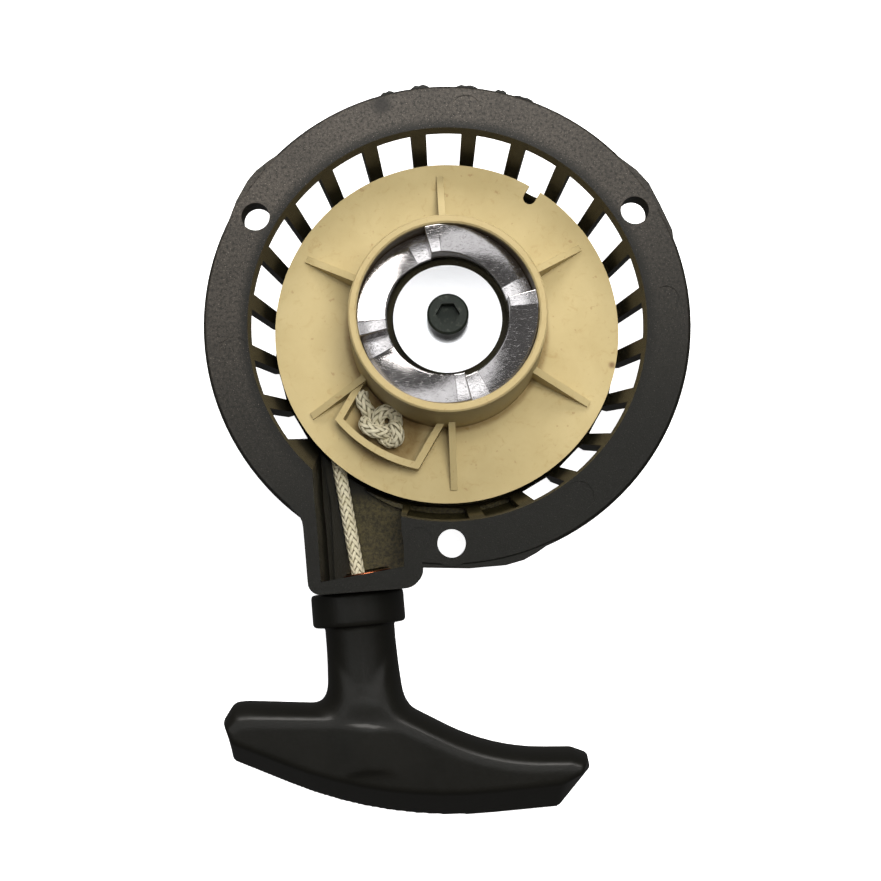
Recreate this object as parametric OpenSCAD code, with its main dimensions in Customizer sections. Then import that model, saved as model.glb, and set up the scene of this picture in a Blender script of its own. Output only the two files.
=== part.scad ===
// Recoil (pull) starter for a small two-stroke engine.
// Frame: origin at the centre of the bolt circle on the engine-side face,
// +Z towards the engine, +Y away from the pull handle. Millimetres.

/* [Mounting flange] */
// Pitch circle of the three bolt holes
bolt_pcd = 109; // [108:0.5:110]
// Bolt hole diameter, clearance for M6
bolt_hole_d = 7; // [6.4:0.1:7]
// Outer diameter of the flange
flange_d = 120.4; // [120:0.2:121]
// Thickness of the flange
flange_t = 5; // [4.5:0.5:6]
// Radius of the lobe under each bolt hole
lobe_r = 5.6; // [5.4:0.1:5.7]

/* [Bowl] */
// Inner diameter of the bowl at its mouth
mouth_d = 98.6; // [98.4:0.2:99]
// How much the wall radius shrinks for each millimetre of depth
wall_taper = 0.18; // [0.16:0.01:0.18]
// Thickness of the bowl wall
wall_t = 2.8; // [2.4:0.1:3]
// Depth of the bowl floor's inner face
floor_depth = 29.2; // [29.2:0.1:29.4]
// Thickness of the bowl floor
floor_t = 2.8; // [2.6:0.1:3]
// Diameter of the raised foot disc on the outside
foot_d = 62; // [56:1:64]
// Height of the foot disc
foot_h = 1.4; // [1.4:0.1:1.8]

/* [Vents] */
// Number of vent positions round the bowl
vent_count = 24; // [24]
// Width of one vent, degrees
vent_angle = 10.5; // [10:0.5:11]
// Depth at which the vents start
vent_top = 3.1; // [3:0.1:4]
// Radius where the vents end on the floor plate
vent_inner_r = 45.3; // [45:0.1:45.6]

/* [Rope outlet] */
// Lean of the outlet away from straight down, degrees
outlet_tilt = 9.5; // [9:0.5:10]
// Distance of the rope line from the reel axis
lead_r = 33.9; // [33.9:0.1:34.2]
// Depth of the rope line below the mounting face
rope_depth = 20.9; // [20.9]
// Rope diameter
rope_d = 3.6; // [3.4:0.1:3.6]
// Depth of the outlet pocket floor
pocket_depth = 23.4; // [23.2:0.1:23.8]

/* [Reel] */
// Diameter of the engine-side flange
reel_d = 88.5; // [88:0.1:89]
// Diameter of the back flange
reel_back_d = 86.6; // [86:0.1:86.8]
// Depth of the engine-side flange
reel_depth = 14; // [14]
// Thickness of each reel flange
reel_flange_t = 1.4; // [1.4]
// Width of the rope groove
groove_w = 11; // [11]
// Outer radius of the rope core
core_r = 25.9; // [25.8:0.1:26]
// Height of the cup rim above the mounting face
cup_h = 11; // [10.5:0.5:12]
// Outer diameter of the cup rim
cup_d = 47.7; // [47.4:0.1:48]
// Number of stiffening ribs
rib_count = 6; // [6]
// Angle of the first rib, degrees
rib_phase = 31.5; // [31.5]

/* [Ratchet ring] */
// Outer diameter of the ratchet ring
ring_od = 43.6; // [43.4:0.1:43.7]
// Inner diameter of the ratchet ring
ring_id = 29.6; // [29:0.1:30]
// Number of ratchet teeth
tooth_count = 4; // [4]
// Angle of the first tooth face, degrees
tooth_phase = 15; // [0:1:89]
// Height of the tooth crests above the mounting face
crest_h = 10.6; // [10:0.1:10.8]
// Height of the tooth roots above the mounting face
root_h = 4.5; // [4:0.1:5]

/* [Centre fastening] */
// Height of the sleeve's end above the mounting face
seat_h = 1.6; // [1.6:0.1:1.8]
// Diameter of the retaining washer
washer_d = 26.6; // [26:0.1:27]
// Thickness of the retaining washer
washer_t = 1.5; // [1.2:0.1:1.6]
// Outer diameter of the steel sleeve
sleeve_d = 14; // [14]
// Radial running clearance of the reel on the sleeve
run_gap = 0.05; // [0.03:0.01:0.08]

/* [Handle] */
// Gap between the outlet face and the handle collar
handle_gap = 1.1; // [1.1:0.1:1.5]
// Lean of the handle against the outlet, degrees
handle_lean = -5.5; // [-5.5]
// Thickness of the handle bar
grip_t = 20; // [18:0.5:21]
// Radius of the collar
collar_r = 11.9; // [11.6:0.1:11.9]
// Height of the collar
collar_h = 7.6; // [7:0.1:8]

/* [Hidden] */
$fn = 96;
eps = 0.01;
slack = 0.05;

// housing
flange_r = flange_d / 2;
bolt_r = bolt_pcd / 2;
first_bolt = 30;
mouth_r = mouth_d / 2;
floor_z = -floor_depth;
back_z = floor_z - floor_t;
foot_z = back_z - foot_h;
lobe_t = 5.6;
edge_r = 0.8;
flat_inset = 0.3;
corner_cut = 3.2;
closed_vents = [225, 240, 255, 270, 285];
blind_vents = [[257, 275.25], [279.75, 290.25]];
blind_vent_floor = 27;
blind_skin = 1;
pin_mark_depth = 0.15;
pin_marks = [[5.7, 53.7, 3.9], [-52.6, -6.5, 3.6], [54.1, 4.6, 3.3], [31.1, -43.7, 3.7], [-7.7, -53.4, 2.9]];

// outlet, in the frame turned by outlet_tilt
outlet_face = -61;
outlet_wall = 3.8;
outlet_back_z = -29;
channel_floor_z = -26;
rim_z = -20;
eyelet_x = -31.6;
eyelet_hole_r = 5.3;
eyelet_flange_r = 6.2;
eyelet_t = 0.6;
rope_z = -rope_depth;
rope_r = rope_d / 2;

// reel
reel_r = reel_d / 2;
reel_z = -reel_depth;
groove_top = reel_z - reel_flange_t;
groove_low = groove_top - groove_w;
reel_low = groove_low - reel_flange_t;
chamber_r = 24.9;
core_cavity_r = 22;
hub_r = 12.4;
hub_low = floor_z + 0.8;
hub_top = seat_h - 0.3;
cup_r = cup_d / 2;
cup_inner_r = ring_od / 2 + slack;
cup_base_r = cup_r + 1.1;
cup_floor_z = -3;
cup_floor_t = 2.5;
chamber_step_z = -16.6;
cavity_top_z = cup_floor_z - cup_floor_t;
rib_r = 41;
rib_t = 1.7;
rib_top_z = -4;
rib_tip_h = 0.7;
notch_angle = 57.6;
notch_w = 3.3;
notch_r = 39.8;
hook_angle = 90;
hook_w = 1.2;
hook_depth = 1.6;

// ratchet surface, degrees
tooth_pitch = 360 / tooth_count;
root_land = 13;
crest_land = 10;
face_draft = 0.6;
ratchet_steps = 24;

// knot pocket on the reel
knot_angle = 239;
knot_shift = -0.5;
knot_half_w = 10.45;
knot_wall = 1.7;
knot_arc_r = 35;
knot_wall_z = -7.4;
knot_r = 28.6;
knot_hole_r = 2.2;

// centre stack and spring
sleeve_r = sleeve_d / 2;
post_r = 5.6;
post_gap = 0.03;
insert_r = 4.5;
insert_len = 16;
screw_r = 3;
head_r = 5;
head_h = 6;
socket_af = 5;
socket_depth = 3.2;
screw_len = 20;
case_r = 24.3;
case_t = 0.8;
case_top_z = -19;
case_hole_r = 13.2;
cover_t = 0.6;
case_screw_r = 19;
case_screw_count = 3;
spring_t = 0.5;
spring_in_r = 13.1;
spring_out_r = 22.7;
spring_turns = 7;
spring_steps = 20;
spring_low_z = -26.6;
spring_top_z = -20;

// rope winding: turns lie in two nested layers
turn_r = 1.7;
turn_pitch = 3.6;
layer_step = 3.1;
wrap_steps = 10;
wrap_step = 6;
rope_sides = 12;

// handle, in the frame at the collar's top centre
handle_x = -34.6;
neck_r = 8.9;
collar_x = -0.5;
washer_seat_y = -100;
knot_cavity_r = 5.8;
knot_recess_end = -110;
knot_mouth_end = -106;
knot_len = 8.6;
lead_start_y = -58;

function unit(v) = v / norm(v);

// Point at [angle, radius]
function polar(p) = p[1] * [cos(p[0]), sin(p[0])];

// Arc that rounds the corner at b between neighbours a and c with radius r
function corner_arc(a, b, c, r, steps) =
  let (
    u = unit(a - b),
    w = unit(c - b),
    half = acos(u * w) / 2,
    centre = b + unit(u + w) * r / sin(half),
    first = b + u * r / tan(half) - centre,
    last = b + w * r / tan(half) - centre,
    start = atan2(first[1], first[0]),
    turn = atan2(last[1], last[0]) - start,
    sweep = turn > 180 ? turn - 360 : turn < -180 ? turn + 360 : turn
  )
  [for (i = [0 : steps]) centre + r * [cos(start + sweep * i / steps), sin(start + sweep * i / steps)]];

// Outline from corners [x, y, radius]
function rounded_outline(corners, steps = 8) =
  let (n = len(corners), at = function (i) [corners[(i + n) % n][0], corners[(i + n) % n][1]])
  [
    for (i = [0 : n - 1])
      each corners[i][2] == 0 ? [at(i)] : corner_arc(at(i - 1), at(i), at(i + 1), corners[i][2], steps)
  ];

// Radius of the bowl's inner wall at height z (z is negative)
function bowl_r(z) = mouth_r + wall_taper * z;

module tube(outer_r, inner_r, low_z, high_z) {
  translate([0, 0, low_z])
    difference() {
      cylinder(r = outer_r, h = high_z - low_z);
      translate([0, 0, -1]) cylinder(r = inner_r, h = high_z - low_z + 2);
    }
}

module disc(r, low_z, high_z) {
  translate([0, 0, low_z]) cylinder(r = r, h = high_z - low_z);
}

// Wedge between two angles and two radii
module wedge(from, to, inner_r, outer_r, low_z, high_z) {
  mid = (from + to) / 2;
  reach = outer_r / cos((to - from) / 2);
  translate([0, 0, low_z])
    linear_extrude(high_z - low_z)
      polygon([
        inner_r * [cos(from), sin(from)],
        reach * [cos(from), sin(from)],
        reach * [cos(to), sin(to)],
        inner_r * [cos(to), sin(to)]
      ]);
}

// Children placed in the outlet's frame, with the rope depth as z = 0
module at_outlet() {
  rotate([0, 0, outlet_tilt]) translate([0, 0, rope_z]) children();
}

// Cylinder along the outlet's y axis between two y values
module along_outlet(x, r, from_y, to_y) {
  at_outlet() translate([x, to_y, 0]) rotate([90, 0, 0]) cylinder(r = r, h = to_y - from_y);
}

// ---------- housing ----------

module bowl_shell() {
  lip_r = bowl_r(-flange_t) + wall_t;
  low_r = bowl_r(floor_z);
  rotate_extrude()
    polygon([
      [mouth_r, 0],
      [flange_r - edge_r, 0],
      [flange_r, -edge_r],
      [flange_r, -flange_t + edge_r],
      [flange_r - edge_r, -flange_t],
      [lip_r, -flange_t],
      [bowl_r(back_z + corner_cut) + wall_t, back_z + corner_cut],
      [low_r + wall_t - corner_cut, back_z],
      [foot_d / 2, back_z],
      [foot_d / 2 - foot_h, foot_z],
      [0, foot_z],
      [0, floor_z],
      [low_r, floor_z]
    ]);
}

module bolt_lobes() {
  for (i = [0 : 2])
    rotate([0, 0, first_bolt + i * 120]) translate([bolt_r, 0, -lobe_t]) cylinder(r = lobe_r, h = lobe_t);
}

module bolt_holes() {
  for (i = [0 : 2])
    rotate([0, 0, first_bolt + i * 120])
      translate([bolt_r, 0, -lobe_t - 1]) cylinder(d = bolt_hole_d, h = lobe_t + 2);
}

// Outline of the outlet block, corners as [x, y, radius] in the row frame
outlet_outline = rounded_outline([
  [-38, -30, 0],
  [-39, -45.2, 0],
  [-37.7, -46.35, 0],
  [-36.8, -47.4, 0],
  [-36.25, -48.6, 0],
  [-36, -50, 0],
  [-34.75, -66.5, 3],
  [-7.3, -64.95, 4.4],
  [-7.3, -60.2, 0],
  [-7, -56, 0],
  [-10, -44, 0]
], 10);

module outlet_block() {
  translate([0, 0, outlet_back_z]) linear_extrude(-outlet_back_z) polygon(outlet_outline);
}

// Straighter edges of the flange round the bolt holes
flange_edges = [
  [[-9, -52], [-7.4, -60.3], [4, -60.7], [13, -60.1], [17.4, -58.9], [20.6, -57.2], [25, -54.2], [16, -48]],
  [for (c = [[19, 59.9], [21.4, 60.6], [28.1, 60.8], [33.9, 61.4], [38.3, 61], [44, 59.9], [30, 52]]) polar(c)],
  [for (c = [[134, 59.9], [136.5, 60.5], [140.3, 61.2], [143.4, 61.3], [148.8, 60.8], [163, 59.9], [149, 52]]) polar(c)]
];

module flange_flats() {
  for (edge = flange_edges)
    translate([0, 0, -flange_t + flat_inset]) linear_extrude(flange_t - 2 * flat_inset) polygon(edge);
}

// Thin moulding flash left along the upper edge, each bit as [angle, half width, reach]
flash_bits = [[103.4, 1.5, 0.75], [95.4, 2, 0.9], [84.1, 2.4, 0.7], [75.9, 1.3, 0.8], [70.1, 2.3, 0.6]];
flash_z = -1.5;
flash_t = 0.5;
flash_shape = [[-1.3, -0.4], [-0.8, 0.6], [-0.3, 1], [0.2, 0.7], [0.6, 0.95], [1, 0.4], [1.4, -0.4]];

module flash() {
  for (bit = flash_bits)
    translate([0, 0, flash_z])
      linear_extrude(flash_t)
        polygon(concat(
          [for (p = flash_shape) polar([bit[0] + p[0] * bit[1], flange_r + p[1] * bit[2]])],
          [polar([bit[0], flange_r - 2])]
        ));
}

module vents() {
  for (i = [0 : vent_count - 1]) {
    angle = i * 360 / vent_count;
    if (len(search(angle, closed_vents)) == 0)
      wedge(
        angle - vent_angle / 2, angle + vent_angle / 2,
        vent_inner_r, bowl_r(-flange_t) + wall_t + 0.1,
        foot_z - 1, -vent_top
      );
  }
}

// Vents that stop at a thin outer skin of the bowl wall
module blind_vents() {
  intersection() {
    for (span = blind_vents)
      wedge(span[0], span[1], vent_inner_r, mouth_r + wall_t, -blind_vent_floor, -vent_top);
    translate([0, 0, -blind_vent_floor])
      cylinder(
        r1 = bowl_r(-blind_vent_floor) + wall_t - blind_skin,
        r2 = bowl_r(-vent_top) + wall_t - blind_skin,
        h = blind_vent_floor - vent_top
      );
  }
}

// Pocket that the rope crosses between the reel and the eyelet
pocket_outline = [
  [-34.1, -27], [-33.6, -36], [-33.3, -43], [-32.7, -49], [-31.6, -66],
  [-11.65, -66], [-11.65, -55], [-12.2, -50.4], [-12.2, -27]
];
// Low rim between the pocket floor and the bowl
rim_outline = [
  [-22.1, -39.9], [-19.1, -42.15], [-15.4, -44.1], [-12, -45.4], [-8, -46], [-8, -38], [-20, -36]
];
// Deeper channel along the outlet's left wall
channel_outline = [
  [-34.1, -27], [-33.6, -36], [-33.3, -43], [-32.7, -49], [-31.6, -66],
  [-30.2, -66], [-30.8, -49.4], [-31.1, -42.9], [-32, -37.8], [-32.8, -32]
];

module within_outlet_wall(low_z) {
  intersection() {
    translate([0, 0, low_z]) linear_extrude(1 - low_z) children();
    rotate([0, 0, outlet_tilt])
      translate([-60, outlet_face + outlet_wall, low_z - 1])
        cube([60, 60, 3 - low_z]);
  }
}

module outlet_pocket() {
  difference() {
    within_outlet_wall(-pocket_depth) polygon(pocket_outline);
    translate([0, 0, -pocket_depth - 1]) linear_extrude(pocket_depth + 1 + rim_z) polygon(rim_outline);
  }
  within_outlet_wall(channel_floor_z) polygon(channel_outline);
}

module housing() {
  color([0.16, 0.155, 0.15])
    difference() {
      union() {
        difference() {
          union() {
            bowl_shell();
            bolt_lobes();
            outlet_block();
            flange_flats();
            flash();
          }
          translate([0, 0, floor_z])
            cylinder(r1 = bowl_r(floor_z), r2 = bowl_r(1), h = 1 - floor_z);
          vents();
          blind_vents();
          outlet_pocket();
        }
        disc(post_r, floor_z - 1, seat_h);
      }
      bolt_holes();
      disc(insert_r, seat_h - insert_len, seat_h + 1);
      disc(screw_r + 0.5, seat_h - screw_len - 1, seat_h);
      along_outlet(eyelet_x, eyelet_hole_r, outlet_face - 3, outlet_face + outlet_wall + 1);
      along_outlet(
        eyelet_x, eyelet_flange_r + slack, outlet_face + outlet_wall, outlet_face + outlet_wall + 0.8
      );
      case_screw_holes(1.2);
      for (mark = pin_marks)
        translate([mark[0], mark[1], -pin_mark_depth]) cylinder(r = mark[2], h = 1);
    }
}

module case_screw_holes(r) {
  for (i = [0 : case_screw_count - 1])
    rotate([0, 0, i * 360 / case_screw_count])
      translate([case_screw_r, 0, floor_z - 2.6]) cylinder(r = r, h = 4);
}

module rope_eyelet() {
  face = outlet_face + outlet_wall;
  color([0.72, 0.38, 0.22])
    at_outlet()
      translate([eyelet_x, face, 0])
        rotate([90, 0, 0])
          rotate_extrude()
            polygon([
              [eyelet_hole_r - 0.65, -eyelet_t],
              [eyelet_flange_r, -eyelet_t],
              [eyelet_flange_r, 0],
              [eyelet_hole_r - slack, 0],
              [eyelet_hole_r - slack, outlet_wall - 0.6],
              [eyelet_hole_r - 0.65, outlet_wall - 0.6]
            ]);
}

// ---------- centre stack ----------

module post_insert() {
  color([0.75, 0.6, 0.3]) tube(insert_r, screw_r + slack, seat_h - insert_len, seat_h);
}

module post_sleeve() {
  color([0.65, 0.65, 0.67]) tube(sleeve_r, post_r + post_gap, floor_z, seat_h);
}

module centre_screw() {
  top_z = seat_h + washer_t + head_h;
  color([0.12, 0.13, 0.13])
    difference() {
      union() {
        translate([0, 0, seat_h + washer_t])
          rotate_extrude()
            polygon([[0, 0], [head_r, 0], [head_r, head_h - 0.5], [head_r - 0.5, head_h], [0, head_h]]);
        disc(screw_r, seat_h + washer_t - screw_len, seat_h + washer_t + eps);
      }
      translate([0, 0, top_z - socket_depth])
        cylinder(d = socket_af / cos(30), h = socket_depth + 1, $fn = 6);
    }
}

module retaining_washer() {
  color([0.9, 0.9, 0.92]) tube(washer_d / 2, screw_r + 0.2, seat_h, seat_h + washer_t);
}

module thrust_washer() {
  color([0.85, 0.85, 0.8]) tube(hub_r - 0.4, sleeve_r + slack, floor_z, floor_z + 0.6);
}

// ---------- recoil spring ----------

module spring_case() {
  color([0.6, 0.6, 0.62])
    difference() {
      union() {
        tube(case_r, case_hole_r, floor_z, floor_z + case_t);
        tube(case_r, case_r - case_t, floor_z, case_top_z);
      }
      case_screw_holes(1.3);
      rotate([0, 0, hook_angle])
        translate([case_r - 1.4, -hook_w / 2, spring_low_z - 0.3])
          cube([3, hook_w, spring_top_z - spring_low_z + 0.6]);
    }
}

module case_screws() {
  color([0.7, 0.7, 0.72])
    for (i = [0 : case_screw_count - 1])
      rotate([0, 0, i * 360 / case_screw_count])
        translate([case_screw_r, 0, 0]) {
          disc(1.15, floor_z - 2.4, floor_z + case_t + eps);
          disc(2.4, floor_z + case_t, floor_z + case_t + 1.3);
        }
}

module spring_cover() {
  color([0.68, 0.68, 0.7]) tube(case_r, case_hole_r + 0.4, case_top_z, case_top_z + cover_t);
}

function spring_point(i, side) =
  let (
    angle = hook_angle + i * 360 / spring_steps,
    r = spring_in_r + (spring_out_r - spring_in_r) * i / (spring_turns * spring_steps) + side * spring_t / 2
  )
  r * [cos(angle), sin(angle)];

module recoil_spring() {
  last = spring_turns * spring_steps;
  height = spring_top_z - spring_low_z;
  color([0.35, 0.38, 0.45])
    translate([0, 0, spring_low_z]) {
      linear_extrude(height)
        polygon([
          for (i = [0 : last]) spring_point(i, 1),
          for (i = [last : -1 : 0]) spring_point(i, -1)
        ]);
      rotate([0, 0, hook_angle])
        translate([hub_r - 1.2, -spring_t / 2, 0]) cube([spring_in_r - hub_r + 1.2, spring_t, height]);
      rotate([0, 0, hook_angle])
        translate([spring_out_r, -spring_t / 2, 0]) cube([case_r - spring_out_r - 0.1, spring_t, height]);
    }
}

// ---------- reel ----------

module reel_body() {
  rotate_extrude()
    polygon([
      [sleeve_r + run_gap, hub_low],
      [hub_r, hub_low],
      [hub_r, cavity_top_z],
      [core_cavity_r, cavity_top_z],
      [core_cavity_r, chamber_step_z],
      [chamber_r, chamber_step_z],
      [chamber_r, reel_low],
      [reel_back_d / 2, reel_low],
      [reel_back_d / 2, groove_low],
      [core_r, groove_low],
      [core_r, groove_top],
      [reel_r, groove_top],
      [reel_r, reel_z],
      [cup_base_r, reel_z],
      [cup_r, cup_h - 0.4],
      [cup_r - 0.4, cup_h],
      [cup_inner_r + 0.4, cup_h],
      [cup_inner_r, cup_h - 0.4],
      [cup_inner_r, cup_floor_z],
      [hub_r, cup_floor_z],
      [hub_r, hub_top],
      [sleeve_r + run_gap, hub_top]
    ]);
}

module reel_ribs() {
  for (i = [0 : rib_count - 1])
    rotate([0, 0, rib_phase + i * 360 / rib_count])
      translate([0, rib_t / 2, 0])
        rotate([90, 0, 0])
          linear_extrude(rib_t)
            polygon([
              [cup_r - 0.5, reel_z - 0.5],
              [rib_r, reel_z - 0.5],
              [rib_r, reel_z + rib_tip_h],
              [cup_r - 0.5, rib_top_z]
            ]);
}

module knot_frame() {
  rotate([0, 0, knot_angle]) translate([0, knot_shift, 0]) children();
}

// Walls of the pocket that holds the rope's inner knot
module knot_pocket() {
  outer_half = knot_half_w + knot_wall;
  difference() {
    intersection() {
      knot_frame()
        translate([cup_r - 4, -outer_half, reel_z - 0.5])
          cube([20, 2 * outer_half, knot_wall_z - reel_z + 0.5]);
      disc(knot_arc_r + knot_wall, reel_z - 0.5, knot_wall_z);
    }
    intersection() {
      knot_frame()
        translate([cup_r - 8, -knot_half_w, reel_z])
          cube([24, 2 * knot_half_w, 20]);
      disc(knot_arc_r, reel_z, reel_z + 20);
    }
    disc(cup_r - 0.8, reel_z - 1, reel_z + 20);
  }
}

module reel() {
  color([0.8, 0.72, 0.52])
    difference() {
      union() {
        reel_body();
        difference() {
          reel_ribs();
          intersection() {
            knot_frame()
              translate([cup_base_r + 0.2, -knot_half_w, reel_z])
                cube([24, 2 * knot_half_w, 20]);
            disc(knot_arc_r, reel_z, reel_z + 20);
          }
        }
        knot_pocket();
      }
      rotate([0, 0, notch_angle]) {
        translate([notch_r + notch_w / 2, 0, groove_top - 1]) cylinder(d = notch_w, h = reel_flange_t + 2);
        translate([notch_r + notch_w / 2, -notch_w / 2, groove_top - 1])
          cube([10, notch_w, reel_flange_t + 2]);
      }
      knot_frame()
        translate([knot_r + 1.5, 0, groove_top - 1]) cylinder(r = knot_hole_r, h = reel_flange_t + 2);
      rotate([0, 0, hook_angle])
        translate([hub_r - hook_depth, -hook_w / 2, hub_low - 1])
          cube([hook_depth + 1, hook_w, spring_top_z - hub_low + 1.5]);
    }
}

// Height of the ratchet surface at an angle within one tooth pitch
function ratchet_h(angle) =
  angle < root_land ? root_h :
  angle > tooth_pitch - crest_land ? crest_h :
  root_h + (crest_h - root_h) * (angle - root_land) / (tooth_pitch - crest_land - root_land);

// Stations of the ratchet ring: the steps of each pitch, then its tooth face
function ratchet_angles() = [
  for (k = [0 : tooth_count - 1])
    for (i = [0 : ratchet_steps])
      [
        tooth_phase + tooth_pitch * k + (tooth_pitch - face_draft) * i / ratchet_steps,
        ratchet_h((tooth_pitch - face_draft) * i / ratchet_steps)
      ]
];

// Closed band of rectangular sections, given as rings of four points
module closed_band(rings) {
  n = len(rings);
  polyhedron(
    [for (ring = rings) each ring],
    [
      for (i = [0 : n - 1])
        for (k = [0 : 3])
          let (
            a = 4 * i + k,
            b = 4 * i + (k + 1) % 4,
            c = 4 * ((i + 1) % n) + k,
            d = 4 * ((i + 1) % n) + (k + 1) % 4
          )
          each [[a, d, b], [a, c, d]]
    ]
  );
}

module ratchet_ring() {
  inner = ring_id / 2;
  outer = ring_od / 2;
  color([0.82, 0.82, 0.84])
    closed_band([
      for (s = ratchet_angles())
        let (c = cos(s[0]), n = sin(s[0]))
        [
          [inner * c, inner * n, cup_floor_z],
          [outer * c, outer * n, cup_floor_z],
          [outer * c, outer * n, s[1]],
          [inner * c, inner * n, s[1]]
        ]
    ]);
}

module rope_winding() {
  first_r = core_r + turn_r + 0.1;
  second_r = first_r + layer_step;
  color([0.88, 0.86, 0.78])
    rotate_extrude()
      union() {
        for (i = [-1 : 1]) translate([first_r, rope_z + i * turn_pitch]) circle(r = turn_r, $fn = 32);
        for (i = [-0.5, 0.5]) translate([second_r, rope_z + i * turn_pitch]) circle(r = turn_r, $fn = 32);
        translate([core_r + 0.1, rope_z - turn_pitch]) square([turn_r, 2 * turn_pitch]);
        translate([first_r, rope_z - turn_pitch / 2]) square([layer_step, turn_pitch]);
      }
}

module reel_knot() {
  color([0.87, 0.82, 0.7])
    knot_frame()
      translate([knot_r + 1, 0, reel_z + 4.3]) {
        translate([0, -3, 0]) sphere(r = 4.1, $fn = 32);
        translate([0.3, 2.6, 0.2]) sphere(r = 4, $fn = 32);
        translate([-0.4, 0, 1]) sphere(r = 3.8, $fn = 32);
        translate([-1.4, -6.6, 0]) rotate([90, 0, -62]) cylinder(r = 1.7, h = 4, center = true, $fn = 32);
      }
}

// Route of the rope from the winding to the eyelet, in the outlet's frame
rope_route = concat(
  [for (i = [wrap_steps : -1 : 1]) lead_r * [-cos(wrap_step * i), sin(wrap_step * i)]],
  [for (y = [0, -10, -20, -30, -40, -50, lead_start_y]) [-lead_r, y]]
);

// Round tube along a flat route
module flat_tube(route, r, sides) {
  n = len(route);
  function heading(i) = unit(route[min(i + 1, n - 1)] - route[max(i - 1, 0)]);
  points = [
    for (i = [0 : n - 1])
      for (k = [0 : sides - 1])
        let (h = heading(i), turn = 360 * k / sides)
        [route[i][0] - h[1] * r * cos(turn), route[i][1] + h[0] * r * cos(turn), r * sin(turn)]
  ];
  walls = [
    for (i = [0 : n - 2])
      for (k = [0 : sides - 1])
        let (a = i * sides + k, b = i * sides + (k + 1) % sides)
        each [[a, b + sides, b], [a, a + sides, b + sides]]
  ];
  caps = [
    [for (k = [0 : sides - 1]) k],
    [for (k = [sides - 1 : -1 : 0]) (n - 1) * sides + k]
  ];
  polyhedron(points, concat(walls, caps));
}

module rope_run() {
  color([0.88, 0.86, 0.78]) at_outlet() flat_tube(rope_route, rope_r, rope_sides);
}

// ---------- handle ----------

module handle_frame() {
  at_outlet() translate([handle_x, outlet_face - handle_gap, 0]) rotate([0, 0, handle_lean]) children();
}

// Corners of the offset T bar: [x, y] at mid thickness, [x, y] on the face, radius, and how the
// side runs from one to the other: 0 rounded like the finger side, 1 straight like the palm side
grip_corners = [
  [[-9.3, -19], [-5, -27], 0, 0],
  [[-9.35, -26.9], [-5.5, -31.5], 6, 0],
  [[-30.5, -24.4], [-28, -29.5], 3, 0],
  [[-33.8, -24.4], [-31.5, -29.5], 2, 0],
  [[-36.6, -28.2], [-34.2, -30.8], 1, 0],
  [[-35.2, -38.9], [-33.8, -33.2], 1.6, 1],
  [[3, -57.9], [3, -51.2], 112, 1],
  [[46, -57.6], [47, -50.2], 1.6, 1],
  [[55, -48.6], [52, -48.6], 1, 1],
  [[54.5, -45], [51.8, -47.6], 0.6, 0],
  [[50.8, -43.3], [48.6, -47], 1.5, 0],
  [[30.4, -41.6], [30.4, -45.8], 56, 0],
  [[8.6, -28.2], [6, -32.5], 10, 0],
  [[8.5, -19], [5, -27], 0, 0]
];
grip_levels = [-1, -0.95, -0.8, -0.5, 0, 0.5, 0.8, 0.95, 1];

// Outline of the bar at a share of its half thickness
function grip_ring(level) =
  let (rise = abs(level), rounded = 1 - sqrt(1 - rise * rise))
  rounded_outline([
    for (c = grip_corners)
      let (p = c[0] + (c[1] - c[0]) * (c[3] == 1 ? rise : rounded))
      [p[0], p[1], c[2]]
  ]);

module grip_bar(half_t) {
  rings = [for (level = grip_levels) [for (p = grip_ring(level)) [p[0], p[1], level * half_t]]];
  n = len(rings[0]);
  top = len(rings) - 1;
  polyhedron(
    [for (ring = rings) each ring],
    concat(
      [[for (i = [0 : n - 1]) i]],
      [for (k = [0 : top - 1]) for (i = [0 : n - 1]) let (j = (i + 1) % n)
        each [[k * n + i, k * n + n + j, k * n + j], [k * n + i, k * n + n + i, k * n + n + j]]],
      [[for (i = [n - 1 : -1 : 0]) top * n + i]]
    )
  );
}

module handle_grip() {
  color([0.1, 0.1, 0.095])
    difference() {
      handle_frame()
        union() {
          translate([collar_x, 0, 0])
            rotate([90, 0, 0])
              rotate_extrude()
                polygon([
                  [0, 0],
                  [collar_r - 1, 0],
                  [collar_r, 1],
                  [collar_r, collar_h - 1],
                  [collar_r - 1, collar_h],
                  [neck_r, collar_h],
                  [neck_r, 30],
                  [0, 30]
                ]);
          grip_bar(grip_t / 2);
        }
      along_outlet(-lead_r, rope_r + 0.5, washer_seat_y - 1, outlet_face + 1);
      knot_recess();
    }
}

// Recess for the outer knot, open on the back of the handle
module knot_recess() {
  length = washer_seat_y - knot_mouth_end;
  along_outlet(-lead_r, knot_cavity_r, knot_recess_end, washer_seat_y);
  at_outlet()
    translate([-lead_r - knot_cavity_r, knot_mouth_end, -grip_t])
      cube([2 * knot_cavity_r, length, grip_t]);
}

module knot_washer() {
  color([0.7, 0.7, 0.72])
    difference() {
      along_outlet(-lead_r, knot_cavity_r - 0.2, washer_seat_y - 1, washer_seat_y);
      along_outlet(-lead_r, rope_r + 0.2, washer_seat_y - 2, washer_seat_y + 1);
    }
}

module handle_knot() {
  low_y = washer_seat_y - 1 - knot_len;
  color([0.87, 0.84, 0.74])
    at_outlet()
      translate([-lead_r, low_y, 0]) {
        translate([0.5, knot_len - 3.9, 0]) sphere(r = 3.9, $fn = 32);
        translate([-0.5, knot_len - 5.2, 0.4]) sphere(r = 3.6, $fn = 32);
        rotate([-90, 0, 0]) cylinder(r = rope_r, h = 4, $fn = 32);
      }
}

module rope_lead() {
  color([0.88, 0.86, 0.78]) along_outlet(-lead_r, rope_r, washer_seat_y - 1, lead_start_y);
}

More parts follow.
